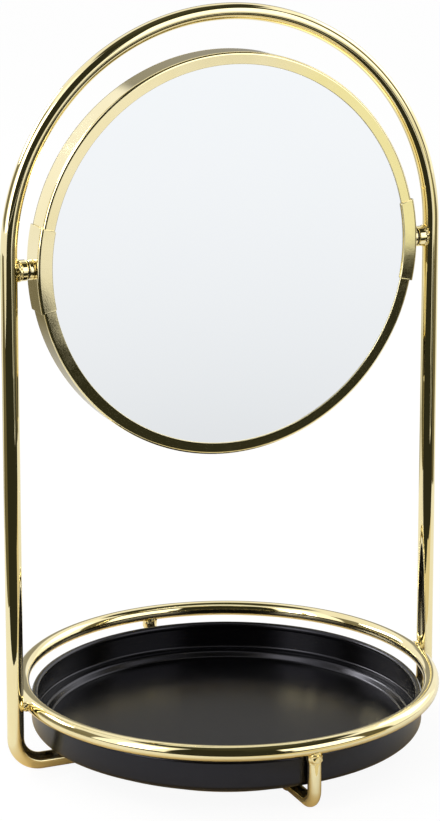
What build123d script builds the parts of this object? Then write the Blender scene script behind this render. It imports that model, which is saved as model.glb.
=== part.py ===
from build123d import *
import os

# A two-sided round vanity mirror on an arched stand of bright round bar, over a round lift-out tray.
# Millimetres. The stand's arch lies in the XZ plane, the mirror faces -Y, the floor is Z = 0.
# Origin: on the floor, on the upright axis of the rings and the tray.

# ---- stand: bar sizes and the shape of the arch
ARCH_BAR_D = 8.0            # bar of the arch, its legs and its two feet
RING_BAR_D = 7.5            # bar of the gallery ring
BASE_BAR_D = 8.0            # bar of the base ring
LEG_BAR_D = 6.4             # thinner bar of the short front and rear legs
BASE_RING_INSET = 28.3      # from the tray's wall in to the centre line of the ring on the floor
WELD_GAP = 1.4              # gap bridged by the weld between the gallery ring and the arch
RING_ABOVE_TRAY = 1.65      # from the tray's edge up to the gallery ring's underside
ARCH_CENTRE_Z = 249.0       # centre of the arch's half circle
ARCH_FOOT_BEND_R = 13.0     # centre line radius of the bend from an arch leg into its foot
LEG_FOOT_BEND_R = 7.0       # the same for the short legs

# ---- mirror head
MIRROR_D = 193.6            # outside of the bezel
MIRROR_T = 15.0             # face to face over both bezels
PIVOT_DROP = 6.0            # how far the tilting axis lies below the centre of the arch
BEZEL_SHEET = 0.8
BEZEL_LIP = 5.8             # width of the bezel's face round the glass
BEZEL_CORNER_R = 1.4        # outside corner radius of the front bezel
SKIRT_NUT_GAP = 0.4         # room between the rear bezel's skirt and the pins' inner nuts
GLASS_T = 2.0
MAGNIFIER_SAG = 4.6         # how deep the magnifying glass is dished at its middle
PAD_NUT_GAP = 1.0           # from the backing pad's edge to the tail of a pin
NEST_GAP = 0.1              # clearance between pieces that nest in the mirror head
EDGE_ROLL = 0.75            # share of a sheet's or bead's thickness that is rolled off its edge

# ---- pivots
CLIP_SHEET = 1.0
CLIP_HALF_ANGLE = 11.9      # degrees of the rim that a clip covers, each way from the pivot
CLIP_FACE_REACH = 0.3       # how far a clip's flanges reach past the bezel's lip over the glass
CLIP_CORNER_R = 1.2
PIN_D = 5.0
PIN_RUN_FIT = 0.05          # radial clearance of the pin in its bush
PIN_HOLE_FIT = 0.1          # radial clearance of the pin in sheet, washer and collar
PIN_END_GAP = 0.3           # from the pin's tip to the bottom of the barrel's bore
PIN_CHAMFER = 0.4
PIN_TAIL = 1.2              # thread that stands out past the inner nut
COLLAR_D = 9.4
COLLAR_L = 2.3
NUT_FLATS = 8.0
NUT_T = 3.0
NUT_THREAD_FIT = 0.02
BARREL_D = 10.0
BARREL_L = 4.1              # from the barrel's face to the inside of the arch leg
BARREL_EDGE_R = 0.6
BUSH_WALL = 1.0
BUSH_FIT = 0.05             # radial clearance of the bush in the barrel
SPRING_T = 0.3              # sheet of the cone spring washer
SPRING_CONE = 0.3           # height of its cone
SPRING_D = 8.8
FACE_GAP = 0.1              # axial clearance on each side of the spring washer

# ---- tray
TRAY_SHEET = 0.9
TRAY_H = 18.3               # underside of the floor to the top of the hem
TRAY_RING_GAP = 0.95        # radial clearance of the tray in the gallery ring
TRAY_SEAT_GAP = 0.3         # between the tray's underside and the bars below it
TRAY_LEDGE_RISE = 3.3       # from the floor up to the ledge round it
TRAY_LEDGE_W = 6.7
TRAY_BEND_R = 2.2
TRAY_HEM_D = 3.4            # rolled hem on the tray's edge

# ---- weld beads
RING_WELD_END_R = 3.1
RING_WELD_WAIST_R = 2.3
RING_WELD_BITE = 1.9        # how far the bead laps over each bar
LEG_WELD_PROUD = 0.5        # how far the bead stands out from the short leg
LEG_WELD_L = 4.8
BASE_WELD_PROUD = 0.6
BASE_WELD_L = 2.4
BASE_WELD_FACE = 0.01       # play between the ground weld and the flat end of the arch's foot
BARREL_WELD_PROUD = 0.9
BARREL_WELD_L = 1.5

# ---- places worked out from the sizes
PIVOT_Z = ARCH_CENTRE_Z - PIVOT_DROP
BASE_Z = BASE_BAR_D / 2
ARCH_FOOT_Z = ARCH_BAR_D / 2
MIRROR_R = MIRROR_D / 2
LIP_INNER_R = MIRROR_R - BEZEL_LIP
BEZEL_INNER_R = MIRROR_R - BEZEL_SHEET
SKIRT_OUTER_R = BEZEL_INNER_R - NEST_GAP
GLASS_R = SKIRT_OUTER_R - BEZEL_SHEET - 2 * NEST_GAP
GLASS_SEAT_Y = MIRROR_T / 2 - BEZEL_SHEET
REAR_SKIRT = GLASS_SEAT_Y - NUT_FLATS / 2 - SKIRT_NUT_GAP
CLIP_INNER_R = MIRROR_R + NEST_GAP
CLIP_OUTER_R = CLIP_INNER_R + CLIP_SHEET
CLIP_HALF_W = MIRROR_T / 2 + NEST_GAP + CLIP_SHEET
COLLAR_X = CLIP_OUTER_R + NEST_GAP / 2
SPRING_X = COLLAR_X + COLLAR_L + FACE_GAP
BARREL_X = SPRING_X + SPRING_CONE + SPRING_T + FACE_GAP
ARCH_INNER_R = BARREL_X + BARREL_L
ARCH_R = ARCH_INNER_R + ARCH_BAR_D / 2
GALLERY_RING_R = ARCH_INNER_R - WELD_GAP - RING_BAR_D / 2
PIN_END_X = ARCH_INNER_R - PIN_END_GAP
NUT_X = (BEZEL_INNER_R**2 - (NUT_FLATS / 2) ** 2) ** 0.5 - NEST_GAP
PIN_TAIL_X = NUT_X - NUT_T - PIN_TAIL
BUSH_INNER_R = PIN_D / 2 + PIN_RUN_FIT
BUSH_OUTER_R = BUSH_INNER_R + BUSH_WALL
DISH_R = (GLASS_R**2 + MAGNIFIER_SAG**2) / (2 * MAGNIFIER_SAG)
MAGNIFIER_FACE_Y = GLASS_SEAT_Y - NEST_GAP / 2
DISH_CENTRE_Y = MAGNIFIER_FACE_Y - MAGNIFIER_SAG + DISH_R
TRAY_R = GALLERY_RING_R - RING_BAR_D / 2 - TRAY_RING_GAP
TRAY_WELL_R = TRAY_R - TRAY_LEDGE_W
BASE_RING_R = TRAY_R - BASE_RING_INSET
BASE_RING_OUTER_R = BASE_RING_R + BASE_BAR_D / 2
TRAY_FLOOR_Z = max(ARCH_BAR_D, BASE_BAR_D, LEG_BAR_D) + TRAY_SEAT_GAP
TRAY_LEDGE_Z = TRAY_FLOOR_Z + TRAY_LEDGE_RISE
TRAY_TOP_Z = TRAY_FLOOR_Z + TRAY_H
GALLERY_RING_Z = TRAY_TOP_Z + RING_ABOVE_TRAY + RING_BAR_D / 2

MIRROR_AXIS = Axis((0, 0, PIVOT_Z), (0, 1, 0))
SIDES = {"left": -1, "right": 1}
ENDS = {"front": -1, "rear": 1}


def along_x(x, z):
    """A plane whose normal points along +X, at the given place on the XZ plane."""
    return Plane(origin=(x, 0, z), x_dir=(0, 1, 0), z_dir=(1, 0, 0))


def pivot_bar(x_start, x_end, radius):
    """A plain round bar on the pivot axis, between two places along X."""
    return extrude(along_x(x_start, PIVOT_Z) * Circle(radius), x_end - x_start)


def on_side(solid, side):
    """A piece that is drawn for the right side, turned round to the left where that is asked."""
    return solid.rotate(Axis.Z, 180) if side == "left" else solid


def bar_along(path, diameter, plane):
    """A round bar that follows a path from the given start plane."""
    return sweep(plane * Circle(diameter / 2), path=path)


# ---- stand

def arch_bar():
    """One bar: left foot, left leg, half circle, right leg, right foot."""
    foot_in, bend = BASE_RING_OUTER_R, ARCH_FOOT_BEND_R
    foot_out = ARCH_R - bend
    knee_z = ARCH_FOOT_Z + bend
    slope = bend * (1 - 0.5**0.5)
    path = Wire([
        Edge.make_line((-foot_in, 0, ARCH_FOOT_Z), (-foot_out, 0, ARCH_FOOT_Z)),
        Edge.make_three_point_arc(
            (-foot_out, 0, ARCH_FOOT_Z), (-ARCH_R + slope, 0, ARCH_FOOT_Z + slope), (-ARCH_R, 0, knee_z)),
        Edge.make_line((-ARCH_R, 0, knee_z), (-ARCH_R, 0, ARCH_CENTRE_Z)),
        Edge.make_three_point_arc(
            (-ARCH_R, 0, ARCH_CENTRE_Z), (0, 0, ARCH_CENTRE_Z + ARCH_R), (ARCH_R, 0, ARCH_CENTRE_Z)),
        Edge.make_line((ARCH_R, 0, ARCH_CENTRE_Z), (ARCH_R, 0, knee_z)),
        Edge.make_three_point_arc(
            (ARCH_R, 0, knee_z), (ARCH_R - slope, 0, ARCH_FOOT_Z + slope), (foot_out, 0, ARCH_FOOT_Z)),
        Edge.make_line((foot_out, 0, ARCH_FOOT_Z), (foot_in, 0, ARCH_FOOT_Z)),
    ])
    start = Plane(origin=(-foot_in, 0, ARCH_FOOT_Z), z_dir=(-1, 0, 0))
    return bar_along(path, ARCH_BAR_D, start)


def ring(radius, bar_d, z):
    """A closed ring of round bar, level, on the upright axis."""
    return Pos(0, 0, z) * Torus(radius, bar_d / 2)


def short_leg(end, gallery_ring, base_ring):
    """A front or rear leg: coped under the gallery ring, bent in at the floor, coped on the base ring."""
    sign, bend = ENDS[end], LEG_FOOT_BEND_R
    leg_y = sign * GALLERY_RING_R
    foot_y = sign * (GALLERY_RING_R - bend)
    slope = bend * (1 - 0.5**0.5)
    path = Wire([
        Edge.make_line((0, leg_y, GALLERY_RING_Z), (0, leg_y, BASE_Z + bend)),
        Edge.make_three_point_arc(
            (0, leg_y, BASE_Z + bend), (0, leg_y - sign * slope, BASE_Z + slope), (0, foot_y, BASE_Z)),
        Edge.make_line((0, foot_y, BASE_Z), (0, sign * BASE_RING_R, BASE_Z)),
    ])
    start = Plane(origin=(0, leg_y, GALLERY_RING_Z), z_dir=(0, 0, -1))
    return bar_along(path, LEG_BAR_D, start) - gallery_ring - base_ring


def ring_weld(side, gallery_ring, arch):
    """Waisted bead that joins the gallery ring to an arch leg, on a line along X."""
    x_in = GALLERY_RING_R + RING_BAR_D / 2 - RING_WELD_BITE
    x_out = ARCH_INNER_R + RING_WELD_BITE
    x_mid = (x_in + x_out) / 2
    outline = Wire([
        Edge.make_line((x_in, 0), (x_in, RING_WELD_END_R)),
        Edge.make_three_point_arc((x_in, RING_WELD_END_R), (x_mid, RING_WELD_WAIST_R), (x_out, RING_WELD_END_R)),
        Edge.make_line((x_out, RING_WELD_END_R), (x_out, 0)),
        Edge.make_line((x_out, 0), (x_in, 0)),
    ])
    bead = Pos(0, 0, GALLERY_RING_Z) * revolve(Face(outline), Axis.X)
    return on_side(bead, side) - gallery_ring - arch


def leg_weld(end, leg, gallery_ring):
    """Bead round the top of a short leg, flaring into the underside of the gallery ring."""
    bar_r = LEG_BAR_D / 2
    top_z = GALLERY_RING_Z - RING_BAR_D / 2 + LEG_WELD_PROUD
    low_z = top_z - LEG_WELD_L
    proud_r = bar_r + LEG_WELD_PROUD
    outline = Wire([
        Edge.make_line((0, low_z), (bar_r, low_z)),
        Edge.make_three_point_arc(
            (bar_r, low_z), (proud_r, low_z + LEG_WELD_L / 4), (proud_r, low_z + LEG_WELD_L / 2)),
        Edge.make_line((proud_r, low_z + LEG_WELD_L / 2), (proud_r + LEG_WELD_PROUD / 2, top_z)),
        Edge.make_line((proud_r + LEG_WELD_PROUD / 2, top_z), (0, top_z)),
        Edge.make_line((0, top_z), (0, low_z)),
    ])
    bead = revolve(Plane.XZ * Face(outline), Axis.Z)
    return Pos(0, ENDS[end] * GALLERY_RING_R, 0) * bead - gallery_ring - leg


def base_weld_leg(end, leg, base_ring):
    """Bead round the inner end of a short leg's foot, against the base ring."""
    radius = min(LEG_BAR_D / 2 + BASE_WELD_PROUD, BASE_BAR_D / 2)
    y_out = BASE_RING_OUTER_R + BASE_WELD_L
    bead = Plane(origin=(0, BASE_RING_R, BASE_Z), z_dir=(0, 1, 0)) * Cylinder(
        radius, y_out - BASE_RING_R, align=(Align.CENTER, Align.CENTER, Align.MIN))
    bead = fillet(bead.edges().sort_by(Axis.Y)[-1], BASE_WELD_PROUD * EDGE_ROLL)
    return (bead if end == "rear" else bead.rotate(Axis.Z, 180)) - base_ring - leg


def base_weld_arch(side, base_ring):
    """Weld that fills the hollow between a flat bar end and the round base ring, ground flush."""
    radius = min(ARCH_BAR_D, BASE_BAR_D) / 2 - NEST_GAP
    fill = extrude(along_x(BASE_RING_R, ARCH_FOOT_Z) * Circle(radius), BASE_BAR_D / 2 - BASE_WELD_FACE)
    return on_side(fill, side) - base_ring


# ---- pivots, drawn on the right and turned round for the left

def pivot_barrel(side, arch):
    """Round boss coped on the inside of an arch leg, with a blind bore for the bush."""
    body = pivot_bar(BARREL_X, ARCH_R, BARREL_D / 2)
    body = fillet(body.edges().sort_by(Axis.X)[0], BARREL_EDGE_R)
    body -= pivot_bar(BARREL_X, ARCH_INNER_R, BUSH_OUTER_R + BUSH_FIT)
    return on_side(body, side) - arch


def barrel_weld(side, arch):
    """Bead round the barrel where it meets the arch leg."""
    barrel_r, proud_r = BARREL_D / 2, BARREL_D / 2 + BARREL_WELD_PROUD
    x_in, x_out = ARCH_INNER_R - BARREL_WELD_L, ARCH_INNER_R + BARREL_WELD_L
    crown = (ARCH_INNER_R - BARREL_WELD_L / 2, proud_r - BARREL_WELD_PROUD / 4)
    outline = Wire([
        Edge.make_line((x_in, 0), (x_in, barrel_r)),
        Edge.make_three_point_arc((x_in, barrel_r), crown, (ARCH_INNER_R, proud_r)),
        Edge.make_line((ARCH_INNER_R, proud_r), (x_out, proud_r)),
        Edge.make_line((x_out, proud_r), (x_out, 0)),
        Edge.make_line((x_out, 0), (x_in, 0)),
    ])
    bead = Pos(0, 0, PIVOT_Z) * revolve(Face(outline), Axis.X)
    bead -= pivot_bar(x_in, ARCH_R, BARREL_D / 2)
    return on_side(bead, side) - arch


def friction_bush(side):
    """Plain sleeve in the barrel's bore, in which the pin turns."""
    sleeve = pivot_bar(BARREL_X, ARCH_INNER_R, BUSH_OUTER_R) - pivot_bar(BARREL_X, ARCH_INNER_R, BUSH_INNER_R)
    return on_side(sleeve, side)


def spring_washer(side):
    """Cone spring washer between the collar and the barrel, which gives the tilt its friction."""
    hole_r, rim_r = PIN_D / 2 + PIN_HOLE_FIT, SPRING_D / 2
    outline = Polyline(
        (SPRING_X, rim_r), (SPRING_X + SPRING_T, rim_r), (SPRING_X + SPRING_CONE + SPRING_T, hole_r),
        (SPRING_X + SPRING_CONE, hole_r), close=True)
    return on_side(Pos(0, 0, PIVOT_Z) * revolve(make_face(outline), Axis.X), side)


def pivot_collar(side):
    """Spacer between the clip and the spring washer."""
    collar = pivot_bar(COLLAR_X, COLLAR_X + COLLAR_L, COLLAR_D / 2)
    collar = chamfer(collar.edges(), PIN_CHAMFER)
    return on_side(collar - pivot_bar(COLLAR_X, COLLAR_X + COLLAR_L, PIN_D / 2 + PIN_HOLE_FIT), side)


def pivot_pin(side):
    """Stud from inside the mirror's rim to the bottom of the barrel's bore."""
    pin = pivot_bar(PIN_TAIL_X, PIN_END_X, PIN_D / 2)
    return on_side(chamfer(pin.edges(), PIN_CHAMFER), side)


def pin_nut(side):
    """Hexagon nut that draws the pin, the clip and the bezel's wall together from inside."""
    hexagon = RegularPolygon(NUT_FLATS / 2, 6, major_radius=False, rotation=30)
    blank = extrude(along_x(NUT_X - NUT_T, PIVOT_Z) * hexagon, NUT_T)
    corners = chamfer(pivot_bar(NUT_X - NUT_T, NUT_X, NUT_FLATS / 3**0.5).edges(), PIN_CHAMFER)
    bore = pivot_bar(NUT_X - NUT_T, NUT_X, PIN_D / 2 + NUT_THREAD_FIT)
    return on_side((blank & corners) - bore, side)


def clip(side):
    """Saddle clip: a U of sheet bent round the rim, with flanges over both bezel faces."""
    flange_r = LIP_INNER_R - CLIP_FACE_REACH
    face_y = CLIP_HALF_W - CLIP_SHEET
    outer = Pos((flange_r + CLIP_OUTER_R) / 2, 0) * Rectangle(CLIP_OUTER_R - flange_r, 2 * CLIP_HALF_W)
    outer = fillet(outer.vertices().group_by(Axis.X)[-1], CLIP_CORNER_R)
    room = Pos((flange_r + CLIP_INNER_R) / 2, 0) * Rectangle(CLIP_INNER_R - flange_r, 2 * face_y)
    section = Pos(0, 0, PIVOT_Z) * (outer - room)
    band = revolve(section, MIRROR_AXIS, revolution_arc=2 * CLIP_HALF_ANGLE)
    band = band.rotate(MIRROR_AXIS, -CLIP_HALF_ANGLE)
    return on_side(band - pivot_bar(LIP_INNER_R, CLIP_OUTER_R + COLLAR_L, PIN_D / 2 + PIN_HOLE_FIT), side)


# ---- mirror head, turned about the mirror's own axis

def turned(outline):
    """A body of revolution about the mirror's axis, from an outline in radius and depth (+ is rearward)."""
    return revolve(Pos(0, 0, PIVOT_Z) * outline, MIRROR_AXIS)


def pin_holes():
    """Clearance holes on the pivot axis through both sides of the rim."""
    hole = pivot_bar(GLASS_R, MIRROR_R + CLIP_SHEET, PIN_D / 2 + PIN_HOLE_FIT)
    return hole + hole.rotate(Axis.Z, 180)


def front_bezel():
    """Deep L section: a face round the plane glass and the wall that carries both halves."""
    front, back = -MIRROR_T / 2, MIRROR_T / 2 - BEZEL_SHEET
    face = Pos((LIP_INNER_R + MIRROR_R) / 2, front + BEZEL_SHEET / 2) * Rectangle(BEZEL_LIP, BEZEL_SHEET)
    wall = Pos(MIRROR_R - BEZEL_SHEET / 2, (front + back) / 2) * Rectangle(BEZEL_SHEET, back - front)
    section = face + wall
    corner = section.vertices().sort_by(lambda v: v.X - v.Y)[-1]
    section = fillet(corner, BEZEL_CORNER_R)
    inner = section.vertices().filter_by(
        lambda v: abs(v.X - BEZEL_INNER_R) < 1e-3 and abs(v.Y - front - BEZEL_SHEET) < 1e-3)
    section = fillet(inner, BEZEL_CORNER_R - BEZEL_SHEET)
    return turned(section) - pin_holes()


def rear_bezel():
    """Shallow L section: a face round the magnifying glass and a skirt pressed into the front bezel."""
    back = MIRROR_T / 2
    face = Pos((LIP_INNER_R + MIRROR_R) / 2, back - BEZEL_SHEET / 2) * Rectangle(BEZEL_LIP, BEZEL_SHEET)
    face = fillet(face.vertices().sort_by(lambda v: v.X + v.Y)[-1], BEZEL_SHEET * EDGE_ROLL)
    skirt = Pos(SKIRT_OUTER_R - BEZEL_SHEET / 2, back - BEZEL_SHEET - REAR_SKIRT / 2) * Rectangle(
        BEZEL_SHEET, REAR_SKIRT)
    return turned(face + skirt)


def front_glass():
    """Plane mirror glass with a ground edge, seated behind the front bezel's face."""
    disc = Pos(GLASS_R / 2, -GLASS_SEAT_Y + GLASS_T / 2) * Rectangle(GLASS_R, GLASS_T)
    disc = chamfer(disc.vertices().group_by(Axis.X)[-1], PIN_CHAMFER)
    return turned(disc)


def rim_disc(radius, y_front, y_back):
    """A flat disc on the mirror's axis, between two depths."""
    return extrude(Plane(origin=(0, y_front, PIVOT_Z), z_dir=(0, 1, 0)) * Circle(radius), y_back - y_front)


def dish(extra):
    """The ball that the magnifying glass's face is part of, made larger by the given depth of material."""
    return Pos(0, DISH_CENTRE_Y, PIVOT_Z) * Sphere(DISH_R + extra)


def magnifying_glass():
    """Concave mirror glass of even thickness, its rim seated behind the rear bezel's face."""
    blank = rim_disc(GLASS_R, MAGNIFIER_FACE_Y - MAGNIFIER_SAG - GLASS_T, MAGNIFIER_FACE_Y)
    return (blank & dish(GLASS_T)) - dish(0)


def backing_pad():
    """Board that fills the space between the two glasses, short of the rim where the pins' nuts are."""
    front = -GLASS_SEAT_Y + GLASS_T + NEST_GAP
    return rim_disc(PIN_TAIL_X - PAD_NUT_GAP, front, MAGNIFIER_FACE_Y - GLASS_T) - dish(GLASS_T + NEST_GAP)


# ---- tray

def tray():
    """Pressed sheet tray: dished floor, ledge, upright wall and a hem rolled inwards at its edge."""
    wall_r, hem_r = TRAY_R, TRAY_HEM_D / 2
    hem_z = TRAY_TOP_Z - hem_r
    well_in, well_out = TRAY_WELL_R - TRAY_BEND_R / 2, TRAY_WELL_R + TRAY_BEND_R / 2
    form = make_face(Polyline(
        (0, TRAY_FLOOR_Z), (well_in, TRAY_FLOOR_Z), (well_out, TRAY_LEDGE_Z), (wall_r, TRAY_LEDGE_Z),
        (wall_r, hem_z), (0, hem_z), close=True))
    bends = [v for v in form.vertices() if v.X > 1 and v.Y < hem_z - 1e-3]
    form = fillet(bends, TRAY_BEND_R)
    body = revolve(Plane.XZ * form, Axis.Z)
    pressing = offset(body, -TRAY_SHEET, openings=body.faces().sort_by(Axis.Z)[-1])
    hem = Pos(0, 0, hem_z) * Torus(wall_r - hem_r, hem_r)
    return pressing + hem


def build():
    """Every piece of the object by its node name."""
    gallery = ring(GALLERY_RING_R, RING_BAR_D, GALLERY_RING_Z)
    base = ring(BASE_RING_R, BASE_BAR_D, BASE_Z)
    arch = arch_bar()
    pieces = {"arch_bar": arch, "gallery_ring": gallery, "base_ring": base, "tray": tray()}
    for end in ENDS:
        leg = short_leg(end, gallery, base)
        pieces[f"{end}_leg"] = leg
        pieces[f"leg_weld_{end}"] = leg_weld(end, leg, gallery)
        pieces[f"base_weld_{end}"] = base_weld_leg(end, leg, base)
    for side in SIDES:
        pieces[f"ring_weld_{side}"] = ring_weld(side, gallery, arch)
        pieces[f"base_weld_{side}"] = base_weld_arch(side, base)
        pieces[f"pivot_barrel_{side}"] = pivot_barrel(side, arch)
        pieces[f"barrel_weld_{side}"] = barrel_weld(side, arch)
        pieces[f"friction_bush_{side}"] = friction_bush(side)
        pieces[f"spring_washer_{side}"] = spring_washer(side)
        pieces[f"pivot_collar_{side}"] = pivot_collar(side)
        pieces[f"pivot_pin_{side}"] = pivot_pin(side)
        pieces[f"pin_nut_{side}"] = pin_nut(side)
        pieces[f"clip_{side}"] = clip(side)
    pieces["front_bezel"] = front_bezel()
    pieces["rear_bezel"] = rear_bezel()
    pieces["front_glass"] = front_glass()
    pieces["magnifying_glass"] = magnifying_glass()
    pieces["backing_pad"] = backing_pad()
    return pieces


os.makedirs("parts", exist_ok=True)
for node, piece in build().items():
    export_step(piece, f"parts/{node}.step")
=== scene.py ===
"""Looks of a round tilting vanity mirror on an arched bar stand, with a lift-out tray.

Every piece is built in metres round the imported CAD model. X runs along the arch, the plane mirror
faces -Y, and the floor is Z = 0.
"""

import logging
import math
from collections.abc import Sequence
from dataclasses import dataclass, field
from enum import Enum
from typing import ClassVar

import bmesh
import bpy
from mathutils import Matrix, Vector, noise


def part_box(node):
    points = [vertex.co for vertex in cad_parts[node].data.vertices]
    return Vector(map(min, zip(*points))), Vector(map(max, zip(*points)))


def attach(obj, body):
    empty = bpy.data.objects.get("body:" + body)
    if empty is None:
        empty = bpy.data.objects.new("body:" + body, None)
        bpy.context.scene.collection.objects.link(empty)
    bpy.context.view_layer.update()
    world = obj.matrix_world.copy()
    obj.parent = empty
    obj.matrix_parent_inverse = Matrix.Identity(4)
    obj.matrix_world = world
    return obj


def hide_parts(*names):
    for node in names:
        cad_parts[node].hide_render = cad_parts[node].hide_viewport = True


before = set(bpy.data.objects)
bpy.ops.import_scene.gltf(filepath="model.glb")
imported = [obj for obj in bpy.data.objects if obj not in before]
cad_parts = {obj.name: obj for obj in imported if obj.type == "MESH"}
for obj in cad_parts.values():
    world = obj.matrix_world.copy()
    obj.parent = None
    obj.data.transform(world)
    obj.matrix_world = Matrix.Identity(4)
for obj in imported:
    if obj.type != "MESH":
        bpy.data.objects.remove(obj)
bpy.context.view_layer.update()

log = logging.getLogger("vanity_mirror")

MM = 0.001
ON_AXIS = 1e-9  # a smaller radius is a point on the axis
MERGE_REACH = 1e-7  # points closer than this are one
WHITE = (1.0, 1.0, 1.0)

Colour = tuple[float, float, float]
Place = tuple[float, float, float]
Corner = tuple[float, float, float]
Span = tuple[float, float]
Outline = list[tuple[float, float]]
Socket = bpy.types.NodeSocket


# ---- naming and small helpers


class Way(Enum):
    """A way out from the middle of the stand, with its sign along the axis."""

    @property
    def word(self) -> str:
        """The way's name as the CAD nodes spell it."""
        return self.name.lower()


class Side(Way):
    """A side of the stand, along X."""

    LEFT = -1
    RIGHT = 1


class End(Way):
    """An end of the stand, along Y."""

    FRONT = -1
    REAR = 1


class Turn(Enum):
    """The axis that a turned piece is made round, as the axes of its angle 0, its angle 90 and its length."""

    UPRIGHT = (0, 1, 2)
    ALONG_X = (1, 2, 0)
    ALONG_Y = (0, 2, 1)

    def place(self, radius: float, along: float, angle: float, centre: Vector) -> Vector:
        """Places one point of a turned piece.

        Args:
            radius: Its distance from the axis, in metres.
            along: Its place along the axis, in metres.
            angle: Its angle round the axis, in radians.
            centre: A point on the axis, from which the place is measured.

        Returns:
            The point.
        """
        arm = [0.0, 0.0, 0.0]
        for axis, length in zip(self.value, (radius * math.cos(angle), radius * math.sin(angle), along)):
            arm[axis] = length
        return centre + Vector(arm)


def node_box(node: str) -> tuple[Vector, Vector]:
    """The lowest and highest corner of a CAD node, in metres."""
    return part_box(node)


def node_half(node: str, axis: int) -> float:
    """Half the extent of a CAD node along one axis, in metres."""
    low, high = node_box(node)
    return (high[axis] - low[axis]) / 2


def node_reach(node: str, axis: int) -> Span:
    """The nearest and furthest distance of a CAD node's ends from the middle along one axis."""
    near, far = sorted(abs(corner[axis]) for corner in node_box(node))
    return near, far


def piece_name(node: str) -> str:
    """The name of the piece that stands for a CAD node."""
    return node.replace("_", "-")


def linked(name: str, data: bpy.types.ID) -> bpy.types.Object:
    """Makes an object at the origin and links it to the scene.

    Args:
        name: The object's name.
        data: Its mesh, lamp or camera.

    Returns:
        The object.
    """
    made = bpy.data.objects.new(name, data)
    bpy.context.scene.collection.objects.link(made)
    return made


# ---- finishes


class NodeBench:
    """A short way to lay out the nodes of one tree."""

    def __init__(self, tree: bpy.types.NodeTree) -> None:
        """Keeps the tree and clears it."""
        self.tree = tree
        tree.nodes.clear()

    def feed(self, target: Socket, value: object) -> None:
        """Links an output to an input, or sets a plain value on it.

        Args:
            target: The input.
            value: Another node's output, or a plain value.
        """
        if isinstance(value, Socket):
            self.tree.links.new(value, target)
        else:
            target.default_value = value

    def add(self, kind: str, **settings: object) -> bpy.types.Node:
        """Adds a node.

        Args:
            kind: The node's type.
            settings: Attributes of the node, or its inputs as in_<name with underscores>.

        Returns:
            The new node.
        """
        made = self.tree.nodes.new(kind)
        for key, value in settings.items():
            if key.startswith("in_"):
                self.feed(made.inputs[key.removeprefix("in_").replace("_", " ")], value)
            else:
                setattr(made, key, value)
        return made

    def first(self, kind: str, **settings: object) -> Socket:
        """Adds a node and gives its first output."""
        return self.add(kind, **settings).outputs[0]

    def maths(self, operation: str, *values: Socket | float) -> Socket:
        """Adds a Math node.

        Args:
            operation: What it does.
            values: Its one or two inputs.

        Returns:
            The result.
        """
        made = self.add("ShaderNodeMath", operation=operation)
        for target, value in zip(made.inputs, values):
            self.feed(target, value)
        return made.outputs["Value"]

    def mapped(self, value: Socket, source: Span, target: Span, curve: str = "LINEAR") -> Socket:
        """A value taken from one span to another and held at its ends."""
        spans = dict(zip(("in_From_Min", "in_From_Max", "in_To_Min", "in_To_Max"), (*source, *target)))
        return self.first("ShaderNodeMapRange", interpolation_type=curve, in_Value=value, **spans)

    def blend(self, factor: Socket, start: Socket | float, stop: Socket | float) -> Socket:
        """A number that goes from start to stop as the factor goes from 0 to 1."""
        return self.first("ShaderNodeMix", data_type="FLOAT", in_Factor=factor, in_A=start, in_B=stop)

    def choose(self, factor: Socket, surface: Socket, other: Socket) -> Socket:
        """Mixes two surfaces.

        Args:
            factor: 0 for the one surface, 1 for the other.
            surface: The surface at 0.
            other: The surface at 1.

        Returns:
            The mixed surface.
        """
        made = self.add("ShaderNodeMixShader", in_Fac=factor)
        self.feed(made.inputs[1], surface)
        self.feed(made.inputs[2], other)
        return made.outputs["Shader"]

    def patches(self, place: Socket, size: float, detail: float) -> Socket:
        """Soft noise with patches of the given size, in metres."""
        return self.first("ShaderNodeTexNoise", in_Vector=place, in_Scale=1 / size, in_Detail=detail)

    def ramp(self, value: Socket, stops: Sequence[tuple[float, Colour]]) -> Socket:
        """A colour that follows a value between 0 and 1.

        Args:
            value: The value.
            stops: Values with their colours, in rising order.

        Returns:
            The colour.
        """
        made = self.add("ShaderNodeValToRGB", in_Fac=value)
        elements = made.color_ramp.elements
        while len(elements) < len(stops):
            elements.new(1.0)
        for element, (position, colour) in zip(elements, stops):
            element.position, element.color = position, (*colour, 1.0)
        return made.outputs["Color"]


def new_material(name: str) -> tuple[bpy.types.Material, NodeBench]:
    """Makes an empty node material.

    Args:
        name: The material's name.

    Returns:
        The material and the bench of its tree.
    """
    material = bpy.data.materials.new(name)
    material.use_nodes = True
    return material, NodeBench(material.node_tree)


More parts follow.
